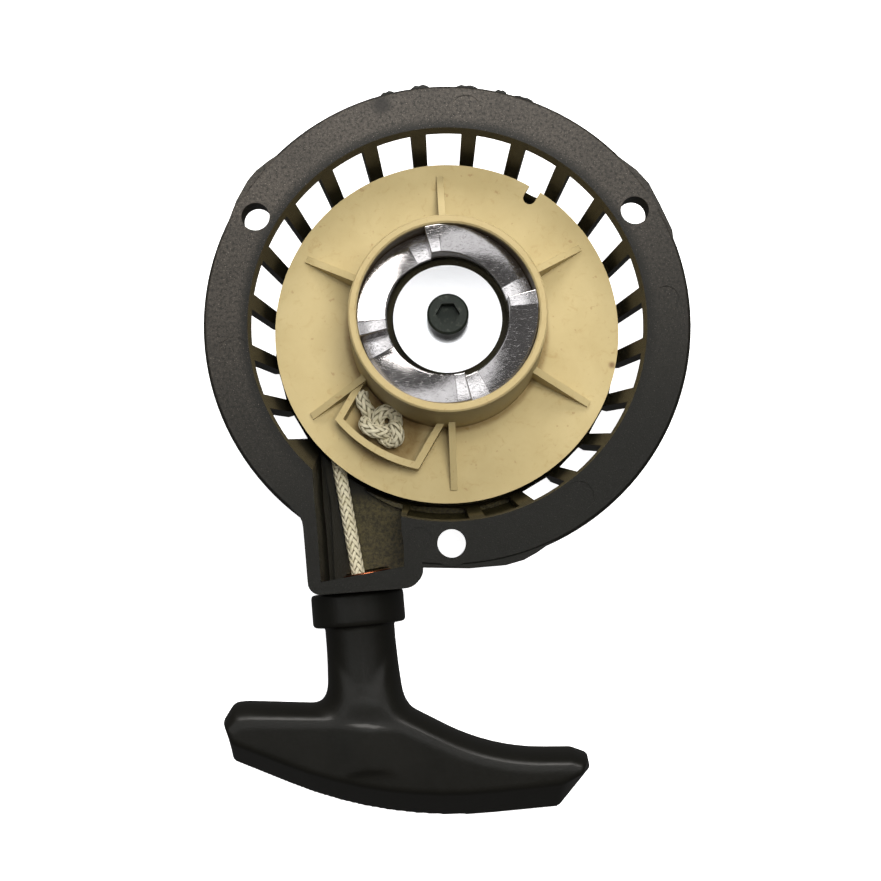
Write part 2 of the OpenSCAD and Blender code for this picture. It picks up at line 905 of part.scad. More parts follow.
housing();
rope_eyelet();
post_insert();
post_sleeve();
centre_screw();
retaining_washer();
thrust_washer();
spring_case();
case_screws();
recoil_spring();
spring_cover();
rope_run();
reel();
ratchet_ring();
rope_winding();
reel_knot();
handle_grip();
knot_washer();
handle_knot();
rope_lead();
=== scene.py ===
"""Looks of a recoil starter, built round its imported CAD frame.

Sizes are millimetres in the row frame unless a comment says otherwise, and become metres when a mesh is made.
"""

import math

import bpy
import numpy as np
import openvdb
from mathutils import Matrix, Vector


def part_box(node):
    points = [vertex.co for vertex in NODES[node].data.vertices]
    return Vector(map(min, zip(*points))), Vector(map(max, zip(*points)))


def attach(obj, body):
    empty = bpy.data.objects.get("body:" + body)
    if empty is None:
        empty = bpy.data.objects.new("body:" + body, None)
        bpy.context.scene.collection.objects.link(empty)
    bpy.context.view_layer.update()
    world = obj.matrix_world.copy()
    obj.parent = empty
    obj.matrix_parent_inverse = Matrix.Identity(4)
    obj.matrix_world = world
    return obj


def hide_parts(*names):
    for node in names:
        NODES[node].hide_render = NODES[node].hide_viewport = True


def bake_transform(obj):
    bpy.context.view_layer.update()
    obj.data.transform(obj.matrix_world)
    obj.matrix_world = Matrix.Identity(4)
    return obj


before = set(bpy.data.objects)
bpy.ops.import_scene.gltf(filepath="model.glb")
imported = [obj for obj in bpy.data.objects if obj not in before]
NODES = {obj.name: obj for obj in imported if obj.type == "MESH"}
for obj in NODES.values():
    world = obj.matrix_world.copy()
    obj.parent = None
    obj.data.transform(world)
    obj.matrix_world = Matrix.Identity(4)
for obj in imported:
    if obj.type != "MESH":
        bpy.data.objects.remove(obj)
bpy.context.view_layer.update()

MM = 0.001

# ---------------------------------------------------------------- camera

CAMERA_TILT = math.radians(-5.68)
CAMERA_PAN = math.radians(0.29)
CAMERA_ROLL = math.radians(1.06)
CAMERA_OFFSET = Vector((1.73, 29.4, -300.0)) * MM
LENS_MM = 49.74


def place_camera():
    """Looks down on the engine side from a little beyond the handle."""
    turn = (
        Matrix.Rotation(CAMERA_PAN, 3, "Y")
        @ Matrix.Rotation(CAMERA_TILT, 3, "X")
        @ Matrix.Rotation(CAMERA_ROLL, 3, "Z")
    ).transposed()
    data = bpy.data.cameras.new("camera")
    data.lens = LENS_MM
    data.sensor_width = 36.0
    data.clip_start = 0.01
    camera = bpy.data.objects.new("camera", data)
    bpy.context.scene.collection.objects.link(camera)
    camera.matrix_world = Matrix.Translation(-(turn @ CAMERA_OFFSET)) @ turn.to_4x4()
    bpy.context.scene.camera = camera


place_camera()

# ---------------------------------------------------------------- shader maths


class Flow:
    """A number or colour travelling through a shader, with Python's operators as Math nodes."""

    def __init__(self, finish, socket):
        self.finish = finish
        self.socket = socket

    def _math(self, operation, *values):
        inputs = dict(enumerate(values))
        return self.finish.node("ShaderNodeMath", {"operation": operation}, inputs)

    def __add__(self, other):
        return self._math("ADD", self, other)

    def __radd__(self, other):
        return self._math("ADD", other, self)

    def __sub__(self, other):
        return self._math("SUBTRACT", self, other)

    def __rsub__(self, other):
        return self._math("SUBTRACT", other, self)

    def __mul__(self, other):
        return self._math("MULTIPLY", self, other)

    def __rmul__(self, other):
        return self._math("MULTIPLY", other, self)

    def __truediv__(self, other):
        return self._math("DIVIDE", self, other)

    def __pow__(self, other):
        return self._math("POWER", self, other)

    def sine(self):
        return self._math("SINE", self)

    def size(self):
        return self._math("ABSOLUTE", self)

    def at_least(self, other):
        return self._math("MAXIMUM", self, other)

    def at_most(self, other):
        return self._math("MINIMUM", self, other)

    def clamp(self):
        return self.at_least(0.0).at_most(1.0)


def step(value, low, high):
    """0 below low, 1 above high, smooth between."""
    t = ((value - low) / (high - low)).clamp()
    return t * t * (3.0 - 2.0 * t)


def plan_distance(x, y, centre):
    """Distance in plan from a point."""
    return ((x - centre[0]) ** 2.0 + (y - centre[1]) ** 2.0) ** 0.5


class Finish:
    """One material: its node tree, and the few calls that fill it."""

    def __init__(self, name, **constants):
        self.material = bpy.data.materials.new(name)
        self.material.use_nodes = True
        self.tree = self.material.node_tree
        self.shader = self.tree.nodes["Principled BSDF"]
        for socket, value in constants.items():
            self.shader.inputs[socket.replace("_", " ")].default_value = value

    def node(self, kind, settings, inputs, output=0):
        made = self.tree.nodes.new(kind)
        for name, value in settings.items():
            if name == "stops":
                self._ramp(made.color_ramp, value)
            else:
                setattr(made, name, value)
        for name, value in inputs.items():
            self.feed(made.inputs[name], value)
        return Flow(self, made.outputs[output])

    def feed(self, socket, value):
        if isinstance(value, Flow):
            self.tree.links.new(value.socket, socket)
        else:
            socket.default_value = value

    def _ramp(self, ramp, stops):
        while len(ramp.elements) < len(stops):
            ramp.elements.new(0.5)
        for element, (place, colour) in zip(ramp.elements, stops):
            element.position = place
            element.color = (*colour, 1.0)

    def place(self):
        """Position in the row frame, in millimetres, riding with the piece."""
        spot = self.node("ShaderNodeTexCoord", {}, {}, "Object")
        return self.node("ShaderNodeVectorMath", {"operation": "SCALE"}, {0: spot, "Scale": 1000.0})

    def axes(self, vector):
        parts = self.tree.nodes.new("ShaderNodeSeparateXYZ")
        self.feed(parts.inputs[0], vector)
        return [Flow(self, output) for output in parts.outputs]

    def turn(self, rise, run):
        """Angle of a direction, radians."""
        return self.node("ShaderNodeMath", {"operation": "ARCTAN2"}, {0: rise, 1: run})

    def stretch(self, vector, scales):
        return self.node("ShaderNodeVectorMath", {"operation": "MULTIPLY"}, {0: vector, 1: scales})

    def noise(self, vector, grains_per_mm, detail=3.0, roughness=0.5, distortion=0.0):
        return self.node(
            "ShaderNodeTexNoise",
            {},
            {
                "Vector": vector,
                "Scale": grains_per_mm,
                "Detail": detail,
                "Roughness": roughness,
                "Distortion": distortion,
            },
        )

    def mix(self, share, first, second):
        """Colour between first at 0 and second at 1."""
        inputs = {0: share, 6: self._rgba(first), 7: self._rgba(second)}
        return self.node("ShaderNodeMix", {"data_type": "RGBA"}, inputs, 2)

    def _rgba(self, colour):
        return colour if isinstance(colour, Flow) else (*colour, 1.0)

    def bump(self, height, depth_mm, strength=1.0):
        return self.node(
            "ShaderNodeBump", {}, {"Height": height, "Distance": depth_mm * MM, "Strength": strength}
        )

    def set(self, **inputs):
        for socket, value in inputs.items():
            self.feed(self.shader.inputs[socket.replace("_", " ")], value)
        return self.material


def srgb(red, green, blue):
    """Linear colour from 0-255 display values."""

    def linear(value):
        value /= 255.0
        return value / 12.92 if value <= 0.04045 else ((value + 0.055) / 1.055) ** 2.4

    return (linear(red), linear(green), linear(blue))


# ---------------------------------------------------------------- finishes

# Places of marks, mm in the row frame
SMUDGE_AT = (-15.5, 55.5)
STAIN_AT = (42.3, -9.4)
POCKET_AT = (-15.6, -25.4)
FLANGE_MARGIN = (49.4, 52.6)
CUP_ROOT_R = 25.2
HUB_R = (14.9, 15.4)
PARTING_Z = -20.9
YARN_TURNS = 34.0
CARRIERS_SEEN = 4.0
STITCH_RISE = 1.8
STITCH_LENGTH = 2.2
TURNS_AT_CORE = 13.6


def moulded_black():
    """Glass-filled nylon: near-black and matt, with a fine pale sparkle and a dull inner margin; pale dust
    and painted sheen on the flange face's upper side, painted glints on its specks there, and a painted pool
    of light on the outlet pocket's floor.
    """
    f = Finish("moulded_black", IOR=1.5)
    p = f.place()
    x, y, z = f.axes(p)
    cloud = f.noise(p, 0.05, 4.0, 0.6)
    grain = f.noise(p, 2.4, 5.0, 0.7)
    specks = step(f.noise(p, 3.1, 2.0, 0.6), 0.62, 0.74)
    radius = (x * x + y * y) ** 0.5
    margin = step(radius, *FLANGE_MARGIN)
    face = step(z, -0.6, -0.1)
    # lit_side: the side towards the key lamp; there the flange face is lightened by pale dust and painted
    # sheen together
    lit_side = step(0.85 * y - 0.25 * x, -40.0, 52.0)
    stain = 1.0 - step(plan_distance(x, y, SMUDGE_AT), 1.0, 3.6)
    base = f.mix(cloud, srgb(13, 14, 9), srgb(26, 25, 18))
    coarse = f.noise(p, 1.3, 4.0, 0.75)
    dust_and_sheen = face * margin * lit_side * (0.45 + 1.0 * cloud)
    base = f.mix(dust_and_sheen * step(coarse, 0.30, 0.62), base, srgb(128, 119, 109))
    base = f.mix(grain * 0.6, srgb(12, 12, 9), base)
    # painted glint: the specks are brighter on the lit side of the flange face
    base = f.mix(specks * (0.05 + 0.4 * face * lit_side), base, srgb(188, 176, 164))
    base = f.mix(stain * 0.75, base, srgb(20, 19, 17))
    base = f.mix(step(z, -1.0, -9.0) * 0.55, base, srgb(30, 27, 17))
    # painted light: a lighter patch on the outlet pocket's floor, standing in for light falling into the
    # pocket
    floor = step(x, -27.5, -25.5) * step(-1.0 * y, 40.0, 44.0) * (1.0 - step(z, -8.0, -5.0))
    base = f.mix(floor * (0.1 + 0.6 * step(coarse, 0.35, 0.65)), base, srgb(84, 76, 48))
    return f.set(
        Base_Color=base,
        Roughness=0.38 + 0.18 * grain - 0.12 * specks,
        Normal=f.bump(grain + specks * 0.6, 0.09, 0.7),
    )


def satin_black():
    """The handle's moulded plastic, with a faint orange peel, dust and a parting line round its middle."""
    f = Finish("satin_black", IOR=1.5)
    p = f.place()
    z = f.axes(p)[2]
    peel = f.noise(p, 0.8, 3.0, 0.5)
    dust = step(f.noise(p, 2.2, 3.0, 0.7), 0.60, 0.8)
    wear = f.noise(p, 0.10, 5.0, 0.65)
    line = 1.0 - step((z - PARTING_Z).size(), 0.12, 0.30)
    base = f.mix(wear, srgb(9, 9, 6), srgb(18, 17, 13))
    base = f.mix(dust * 0.12, base, srgb(64, 60, 50))
    base = f.mix(line * 0.8, base, srgb(3, 3, 2))
    return f.set(
        Base_Color=base,
        Roughness=0.32 + 0.16 * wear + 0.1 * dust,
        Normal=f.bump(peel * 0.4 - line, 0.10, 0.5),
    )


def cream_nylon():
    """The reel's plastic, yellowed, a little mottled, with grease streaks and one worn stain, and painted
    shade in the crease at the cup's root, in the knot pocket, round the hub, in the gap by the ratchet ring
    and at the cup's rim.
    """
    f = Finish("cream_nylon", IOR=1.5)
    p = f.place()
    x, y, z = f.axes(p)
    mottle = f.noise(p, 0.07, 5.0, 0.6, 0.4)
    fine = f.noise(p, 1.2, 3.0, 0.6)
    streaks = f.noise(f.stretch(p, (1.0, 1.0, 0.3)), 0.35, 4.0, 0.7, 1.2)
    spots = step(f.noise(p, 0.62, 2.0, 0.4), 0.70, 0.76)
    radius = (x * x + y * y) ** 0.5
    root = 1.0 - step((radius - CUP_ROOT_R).size(), 0.2, 1.8)
    # painted shade in the knot pocket, stronger where the grease streaks run
    pocket_shade = 1.0 - step(plan_distance(x, y, POCKET_AT), 7.0, 11.5)
    pocket_shade = pocket_shade * (1.0 - step(z, -11.6, -8.6))
    # painted shade in the crease at the cup's root, stronger where the grease streaks run
    crease_shade = root * (1.0 - step(z, -13.2, -10.0))
    stain = 1.0 - step(plan_distance(x, y, STAIN_AT), 0.2, 1.3)
    base = f.mix(mottle, srgb(164, 146, 100), srgb(190, 174, 130))
    base = f.mix(step(streaks, 0.52, 0.8) * 0.45, base, srgb(150, 122, 70))
    base = f.mix(spots * 0.35, base, srgb(128, 88, 44))
    base = f.mix(crease_shade * (0.35 + 0.5 * streaks), base, srgb(104, 78, 34))
    base = f.mix(pocket_shade * (0.55 + 0.4 * streaks), base, srgb(96, 72, 32))
    # painted shade: near-black round the hub inside the ratchet ring
    base = f.mix((1.0 - step(radius, *HUB_R)) * 0.93, base, srgb(22, 24, 15))
    # painted shadow in the gap between the ratchet ring and the cup wall
    painted_gap_shade = step(radius, 21.3, 21.7) * (1.0 - step(radius, 22.5, 23.0)) * (1.0 - step(z, 8.6, 10.2))
    base = f.mix(painted_gap_shade * 0.85, base, srgb(52, 34, 22))
    base = f.mix(stain * 0.7, base, srgb(92, 52, 24))
    # painted shade at the top of the cup's rim, broken by the mottle
    base = f.mix(step(z, 9.6, 10.9) * 0.25 * mottle, base, srgb(120, 90, 50))
    return f.set(
        Base_Color=base,
        Roughness=0.42 + 0.16 * mottle + 0.1 * fine,
        Normal=f.bump(fine, 0.03, 0.35),
    )


def mirror_steel():
    """The ratchet ring: polished bright, with fine turning lines, scuffs and an oil film."""
    f = Finish("mirror_steel", Metallic=1.0)
    p = f.place()
    x, y, z = f.axes(p)
    radius = (x * x + y * y) ** 0.5
    turning = f.noise(f.node("ShaderNodeCombineXYZ", {}, {0: radius * 7.0, 1: z * 5.0}), 1.0, 3.0, 0.6)
    scuffs = step(f.noise(f.stretch(p, (0.6, 3.0, 1.0)), 1.6, 5.0, 0.75), 0.56, 0.75)
    cloud = f.noise(p, 0.22, 4.0, 0.6)
    base = f.mix(cloud, srgb(196, 192, 192), srgb(238, 236, 238))
    base = f.mix(scuffs * 0.35, base, srgb(150, 138, 124))
    return f.set(
        Base_Color=base,
        Roughness=0.10 + 0.14 * cloud + 0.22 * scuffs,
        Normal=f.bump(turning * 0.5 + scuffs + cloud * 4.0, 0.04, 0.5),
    )


def bright_zinc():
    f = Finish("bright_zinc", Metallic=1.0)
    p = f.place()
    brushed = f.noise(p, 1.1, 4.0, 0.6)
    return f.set(
        Base_Color=f.mix(brushed, srgb(240, 242, 244), srgb(252, 252, 254)),
        Roughness=0.16 + 0.08 * brushed,
        Normal=f.bump(brushed, 0.01, 0.2),
    )


def bare_steel(name, dark, light, rough):
    """Pressed or turned steel with a light oil film."""
    f = Finish(name, Metallic=1.0)
    p = f.place()
    film = f.noise(p, 0.3, 4.0, 0.6)
    lines = f.noise(f.stretch(p, (1.0, 1.0, 9.0)), 1.5, 3.0, 0.6)
    return f.set(
        Base_Color=f.mix(film, dark, light),
        Roughness=rough + 0.15 * film,
        Normal=f.bump(lines, 0.01, 0.3),
    )


def black_oxide():
    f = Finish("black_oxide", IOR=1.6)
    p = f.place()
    grain = f.noise(p, 2.0, 4.0, 0.6)
    worn = step(f.noise(p, 0.9, 4.0, 0.6), 0.55, 0.75)
    base = f.mix(grain, srgb(12, 16, 13), srgb(36, 44, 36))
    base = f.mix(worn * 0.4, base, srgb(96, 98, 88))
    return f.set(
        Base_Color=base,
        Metallic=0.35,
        Roughness=0.3 + 0.2 * grain,
        Normal=f.bump(grain, 0.02, 0.3),
    )


def copper_plate():
    f = Finish("copper_plate", Metallic=1.0)
    p = f.place()
    tarnish = f.noise(p, 0.6, 4.0, 0.6)
    return f.set(
        Base_Color=f.mix(tarnish, srgb(176, 84, 50), srgb(240, 156, 112)),
        Roughness=0.14 + 0.2 * tarnish,
        Normal=f.bump(tarnish, 0.01, 0.3),
    )


def white_nylon():
    f = Finish("white_nylon", IOR=1.5)
    p = f.place()
    cloud = f.noise(p, 0.4, 3.0, 0.5)
    return f.set(
        Base_Color=f.mix(cloud, srgb(214, 210, 196), srgb(232, 230, 220)),
        Roughness=0.4 + 0.1 * cloud,
        Normal=f.bump(cloud, 0.01, 0.2),
    )


def braid_yarn():
    """Nylon strands of the rope: cream white on their crowns, with painted olive shade on their undersides
    and where they dive.
    """
    f = Finish("braid_yarn", IOR=1.5)
    p = f.place()
    crown = f.node("ShaderNodeAttribute", {"attribute_name": "crown"}, {}, "Fac")
    fibres = f.node("ShaderNodeAttribute", {"attribute_name": "fibre"}, {}, "Fac")
    hairs = (fibres * YARN_TURNS).sine() * 0.5 + 0.5
    grime = f.noise(p, 0.35, 4.0, 0.6)
    fuzz = f.noise(p, 5.0, 3.0, 0.7)
    # painted shade: olive where the crown is low, on strand undersides and where they dive under
    base = f.mix(step(crown, 0.04, 0.62), srgb(64, 56, 30), srgb(214, 206, 180))
    base = f.mix(step(grime, 0.45, 0.72) * 0.45, base, srgb(150, 140, 96))
    base = f.mix(hairs * 0.18 + fuzz * 0.14, base, srgb(150, 142, 108))
    return f.set(
        Base_Color=base,
        Roughness=0.46 + 0.2 * fuzz,
        Normal=f.bump(hairs * 0.5 + fuzz * 0.5, 0.05, 0.5),
    )


def plaited_skin(name, along, around):
    """Rope seen only in glimpses: slanting stitches from a length and a turn the caller works out."""
    f = Finish(name, IOR=1.5)
    p = f.place()
    u = along(f, p)
    v = around(f, p)
    right = ((u + v) * math.pi).sine().size()
    left = ((u - v) * math.pi).sine().size()
    crown = right.at_least(left)
    fuzz = f.noise(p, 4.0, 3.0, 0.7)
    # painted shade in the valleys between the stitches
    base = f.mix(step(crown, 0.45, 0.95), srgb(92, 84, 52), srgb(228, 222, 198))
    base = f.mix(fuzz * 0.25, base, srgb(150, 142, 108))
    return f.set(Base_Color=base, Roughness=0.5 + 0.2 * fuzz, Normal=f.bump(crown, 0.25, 0.7))


def arc_length(f, p):
    x, y, _ = f.axes(p)
    return f.turn(y, x) * TURNS_AT_CORE


def turn_height(f, p):
    return f.axes(p)[2] / STITCH_RISE


def lead_length(f, p):
    x, y, _ = f.axes(p)
    return (x * OUTLET_AXIS[0] + y * OUTLET_AXIS[1]) / STITCH_LENGTH


def lead_turn(f, p):
    x, y, z = f.axes(p)
    side = x * OUTLET_AXIS[1] - y * OUTLET_AXIS[0]
    return f.turn(z - ROPE_Z, side - LEAD_R) * (CARRIERS_SEEN / math.pi)


# ---------------------------------------------------------------- sizes, mm

ROPE_Z = -20.9
ROPE_R = 1.8
LEAD_R = 33.9
OUTLET_TILT = math.radians(9.5)
OUTLET_AXIS = (math.sin(OUTLET_TILT), -math.cos(OUTLET_TILT))
HANDLE_LEAN = math.radians(-5.5)
HANDLE_PLACE = (-34.6, -62.1)
GRIP_HALF = 10.0
WASHER_SEAT = -100.0
RUN_END = -58.0
RECESS_END = -110.0
MOUTH_END = -106.0
EYELET_X = -31.6

HOUSING = moulded_black()
GRIP = satin_black()
REEL = cream_nylon()
RATCHET = mirror_steel()
ZINC = bright_zinc()
TURNED = bare_steel("turned_steel", srgb(150, 150, 152), srgb(190, 190, 192), 0.25)
PRESSED = bare_steel("pressed_steel", srgb(120, 120, 124), srgb(168, 168, 172), 0.35)
BLUED = bare_steel("blued_strip", srgb(52, 60, 78), srgb(88, 98, 120), 0.25)
BRASS = bare_steel("turned_brass", srgb(176, 138, 66), srgb(214, 178, 102), 0.25)
OXIDE = black_oxide()
COPPER = copper_plate()
NYLON = white_nylon()
YARN = braid_yarn()
WOUND = plaited_skin("wound_rope", arc_length, turn_height)
TAUT = plaited_skin("taut_rope", lead_length, lead_turn)

NODE_FINISH = {
    "housing": HOUSING,
    "rope_eyelet": COPPER,
    "post_insert": BRASS,
    "post_sleeve": TURNED,
    "centre_screw": OXIDE,
    "retaining_washer": ZINC,
    "thrust_washer": NYLON,
    "spring_case": PRESSED,
    "case_screws": ZINC,
    "recoil_spring": BLUED,
    "spring_cover": PRESSED,
    "rope_run": YARN,
    "reel": REEL,
    "ratchet_ring": RATCHET,
    "rope_winding": WOUND,
    "reel_knot": YARN,
    "handle_grip": GRIP,
    "knot_washer": ZINC,
    "handle_knot": YARN,
    "rope_lead": TAUT,
}

# Width of the moulded or deburred edge on each solid, mm
EDGE_MM = {"housing": 0.4, "reel": 0.35, "centre_screw": 0.25, "retaining_washer": 0.2}


def dress_cad_nodes():
    for name, finish in NODE_FINISH.items():
        data = NODES[name].data
        data.materials.clear()
        data.materials.append(finish)
    for name, width in EDGE_MM.items():
        soften = NODES[name].modifiers.new("edges", "BEVEL")
        soften.width = width * MM
        soften.segments = 2
        soften.limit_method = "ANGLE"
        soften.angle_limit = math.radians(35)


dress_cad_nodes()

# ---------------------------------------------------------------- making pieces


def make_piece(name, points_mm, faces, finish, sharp_degrees=40.0):
    """A smooth mesh from points in millimetres."""
    mesh = bpy.data.meshes.new(name)
    mesh.from_pydata((np.asarray(points_mm, float) * MM).tolist(), [], faces)
    mesh.validate()
    mesh.shade_smooth()
    mesh.set_sharp_from_angle(angle=math.radians(sharp_degrees))
    mesh.materials.append(finish)
    piece = bpy.data.objects.new(name, mesh)
    bpy.context.scene.collection.objects.link(piece)
    return piece


def stands_for(piece, body, node):
    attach(piece, body)
    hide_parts(node)


def from_outlet(points):
    """Points of the outlet's frame, rope line at z = 0, in the row frame."""
    points = np.asarray(points, float)
    c, s = math.cos(OUTLET_TILT), math.sin(OUTLET_TILT)
    x, y, z = points.T
    return np.column_stack([x * c - y * s, x * s + y * c, z + ROPE_Z])


def from_handle(points):
    """Points of the handle's frame, origin at the collar's top centre, in the row frame."""
    points = np.asarray(points, float)
    c, s = math.cos(HANDLE_LEAN), math.sin(HANDLE_LEAN)
    x, y, z = points.T
    return from_outlet(np.column_stack([x * c - y * s + HANDLE_PLACE[0], x * s + y * c + HANDLE_PLACE[1], z]))


def grid_faces(rows, columns, wrap_rows, wrap_columns):
    """Quads between neighbouring points of a rows by columns grid."""
    last_row = rows if wrap_rows else rows - 1
    last_column = columns if wrap_columns else columns - 1
    i, j = np.meshgrid(np.arange(last_row), np.arange(last_column), indexing="ij")
    below, right = (i + 1) % rows, (j + 1) % columns
    quads = np.stack([i * columns + j, below * columns + j, below * columns + right, i * columns + right], -1)
    return quads.reshape(-1, 4).tolist()


def smooth_route(points, spacing):
    """Evenly spaced points on a Catmull-Rom curve through the given ones, and how far along each lies."""
    points = np.asarray(points, float)
    padded = np.vstack([2 * points[0] - points[1], points, 2 * points[-1] - points[-2]])
    t = np.linspace(0, 1, 24, endpoint=False)[:, None]
    parts = []
    for a, b, c, d in zip(padded, padded[1:], padded[2:], padded[3:]):
        square = (2 * a - 5 * b + 4 * c - d) * t**2
        cube = (3 * b - a - 3 * c + d) * t**3
        parts.append(0.5 * (2 * b + (c - a) * t + square + cube))
    fine = np.vstack(parts + [points[-1:]])
    travel = np.concatenate([[0], np.cumsum(np.linalg.norm(np.diff(fine, axis=0), axis=1))])
    stops = np.linspace(0, travel[-1], max(2, int(travel[-1] / spacing) + 1))
    return np.column_stack([np.interp(stops, travel, fine[:, k]) for k in range(3)]), stops


def unit_rows(vectors):
    return vectors / np.linalg.norm(vectors, axis=1, keepdims=True)


def carried_frames(route, first_side):
    """Tangent and two side directions along a route, carried without twist."""
    tangent = unit_rows(np.gradient(route, axis=0))
    sides = np.zeros_like(route)
    side = np.asarray(first_side, float)
    for i, direction in enumerate(tangent):
        side = side - direction * side.dot(direction)
        side = side / np.linalg.norm(side)
        sides[i] = side
    return tangent, sides, np.cross(tangent, sides)


BRAID_CARRIERS = 8
BRAID_PITCH = 17.0
STRAND_W = 1.05
STRAND_T = 0.62
STRAND_WAVE = 0.16
STRAND_SIDES = 8


def braided_rope(name, control, first_side, radius=ROPE_R, spacing=0.3):
    """A 16-carrier braid, two over and two under, laid along a route in the row frame, on a core coloured
    with painted shade.
    """
    route, travel = smooth_route(control, spacing)
    tangent, side, up = carried_frames(route, first_side)
    points, faces, crown, fibre = [], [], [], []
    crossing = BRAID_PITCH / (2 * BRAID_CARRIERS)
    phi = np.linspace(0, 2 * math.pi, STRAND_SIDES, endpoint=False)
    mean_r = radius - STRAND_T / 2 - STRAND_WAVE
    for hand in (1, -1):
        for k in range(BRAID_CARRIERS):
            angle = 2 * math.pi * k / BRAID_CARRIERS + hand * 2 * math.pi * travel / BRAID_PITCH
            wave = hand * np.sin(math.pi / 2 * (2 * k + hand * travel / crossing + 0.5))
            outward = side * np.cos(angle)[:, None] + up * np.sin(angle)[:, None]
            centre = route + outward * (mean_r + STRAND_WAVE * wave)[:, None]
            heading = unit_rows(np.gradient(centre, axis=0))
            across = unit_rows(np.cross(heading, outward))
            ring = (
                centre[:, None, :]
                + across[:, None, :] * (STRAND_W / 2 * np.cos(phi))[None, :, None]
                + outward[:, None, :] * (STRAND_T / 2 * np.sin(phi))[None, :, None]
            )
            start = sum(len(part) for part in points)
            points.append(ring.reshape(-1, 3))
            faces += (np.asarray(grid_faces(len(route), STRAND_SIDES, False, True)) + start).tolist()
            # crown: how far each point of a strand stands out; the yarn finish paints shade where it is low
            height = 0.5 + 0.5 * wave[:, None] * 0.8
            crown.append((np.clip(np.sin(phi)[None, :], 0, 1) * height).ravel())
            fibre.append(np.broadcast_to(np.cos(phi)[None, :], (len(route), STRAND_SIDES)).ravel())
    core_phi = np.linspace(0, 2 * math.pi, 12, endpoint=False)
    core_r = mean_r - 0.12
    core = route[:, None, :] + core_r * (
        side[:, None, :] * np.cos(core_phi)[None, :, None] + up[:, None, :] * np.sin(core_phi)[None, :, None]
    )
    start = sum(len(part) for part in points)
    points.append(core.reshape(-1, 3))
    faces += (np.asarray(grid_faces(len(route), 12, False, True)) + start).tolist()
    for end in (0, len(route) - 1):
        faces.append([start + end * 12 + i for i in range(12)])
    # the core has no crown, so it takes the painted shade colour
    crown.append(np.zeros(core.shape[0] * 12))
    fibre.append(np.zeros(core.shape[0] * 12))
    piece = make_piece(name, np.vstack(points), faces, YARN, 75.0)
    for label, values in (("crown", crown), ("fibre", fibre)):
        attribute = piece.data.attributes.new(label, "FLOAT", "POINT")
        attribute.data.foreach_set("value", np.concatenate(values).astype(np.float32))
    return piece


# ---------------------------------------------------------------- ratchet ring

RING_IN, RING_OUT = 14.8, 21.8
RING_LOW = -3.0
ROOT_H, CREST_H = 4.5, 10.6
TOOTH_PHASE = 15.0
ROOT_LAND, CREST_LAND = 13.0, 10.0
FACE_DRAFT = 0.6
EDGE_BREAK = 0.35


def ratchet_height(turn):
    """Height of the working face at an angle past the last tooth face, with its crest edge broken."""
    slope = (turn - ROOT_LAND) / (90.0 - CREST_LAND - ROOT_LAND)
    height = ROOT_H + (CREST_H - ROOT_H) * min(max(slope, 0.0), 1.0)
    to_face = (90.0 - FACE_DRAFT - turn) / 1.1
    if 0.0 <= to_face < 1.0:
        height -= EDGE_BREAK * (1.0 - math.sqrt(1.0 - (1.0 - to_face) ** 2))
    if turn > 90.0 - FACE_DRAFT:
        drop = (turn - 90.0 + FACE_DRAFT) / FACE_DRAFT
        height = CREST_H - EDGE_BREAK + (ROOT_H - CREST_H + EDGE_BREAK) * drop
    return height


def make_ratchet_ring():
    turns = np.concatenate([np.arange(0.0, 88.0, 0.8), np.linspace(88.2, 89.4, 7), [89.6, 89.8, 89.99]])
    arc = np.radians(np.linspace(0, 90, 5))
    rounding = [(EDGE_BREAK * (1 - math.cos(a)), EDGE_BREAK * (1 - math.sin(a))) for a in arc]
    rings = []
    for tooth in range(4):
        for turn in turns:
            height = ratchet_height(turn)
            inner = [(RING_IN + across, height - down) for across, down in rounding]
            outer = [(RING_OUT - across, height - down) for across, down in rounding]
            section = [(RING_IN, RING_LOW), *inner, *reversed(outer), (RING_OUT, RING_LOW)]
            angle = math.radians(TOOTH_PHASE + 90.0 * tooth + turn)
            rings.append([(r * math.cos(angle), r * math.sin(angle), z) for r, z in section])
    points = np.asarray(rings)
    faces = grid_faces(points.shape[0], points.shape[1], True, True)
    piece = make_piece("ratchet_ring_polished", points.reshape(-1, 3), faces, RATCHET, 35.0)
    stands_for(piece, "reel", "ratchet_ring")


make_ratchet_ring()

# ---------------------------------------------------------------- rope


def make_rope_run():
    turns = [math.radians(a) for a in range(60, 0, -6)]
    wrap = [(-LEAD_R * math.cos(a), LEAD_R * math.sin(a), 0.0) for a in turns]
    straight = [(-LEAD_R, y, 0.0) for y in range(0, int(RUN_END), -6)] + [(-LEAD_R, RUN_END, 0.0)]
    piece = braided_rope("rope_run_braid", from_outlet(wrap + straight), (0, 0, 1))
    stands_for(piece, "housing", "rope_run")


def knot_control():
    """Loops of an overhand knot round the origin, without its standing end and tail, which the callers add: x
    across, y along its length, z up.
    """
    t = np.linspace(0.35, 2 * math.pi - 0.5, 22)
    loops = np.column_stack([
        1.12 * (np.cos(t) - 2 * np.cos(2 * t)),
        1.66 * (np.sin(t) + 2 * np.sin(2 * t)),
        1.5 * np.sin(3 * t),
    ])
    return loops


KNOT_TURN = math.radians(239.0)


def make_reel_knot():
    loops = knot_control()
    standing = [[1.2, 0.4, -6.0], [1.0, 1.0, -3.6]]
    tail = [[-1.6, -6.2, 0.6], [-3.0, -8.2, 0.9], [-4.6, -9.0, 0.6]]
    local = np.vstack([standing, loops * np.array([1.16, 1.0, 1.05]), tail])
    c, s = math.cos(KNOT_TURN), math.sin(KNOT_TURN)
    x, y, z = (local + np.array([29.5, -1.4, 0.0])).T
    route = np.column_stack([x * c - y * s, x * s + y * c, z - 9.6])
    piece = braided_rope("reel_knot_braid", route, (0.3, 0.2, 1), radius=1.8, spacing=0.3)
    stands_for(piece, "reel", "reel_knot")


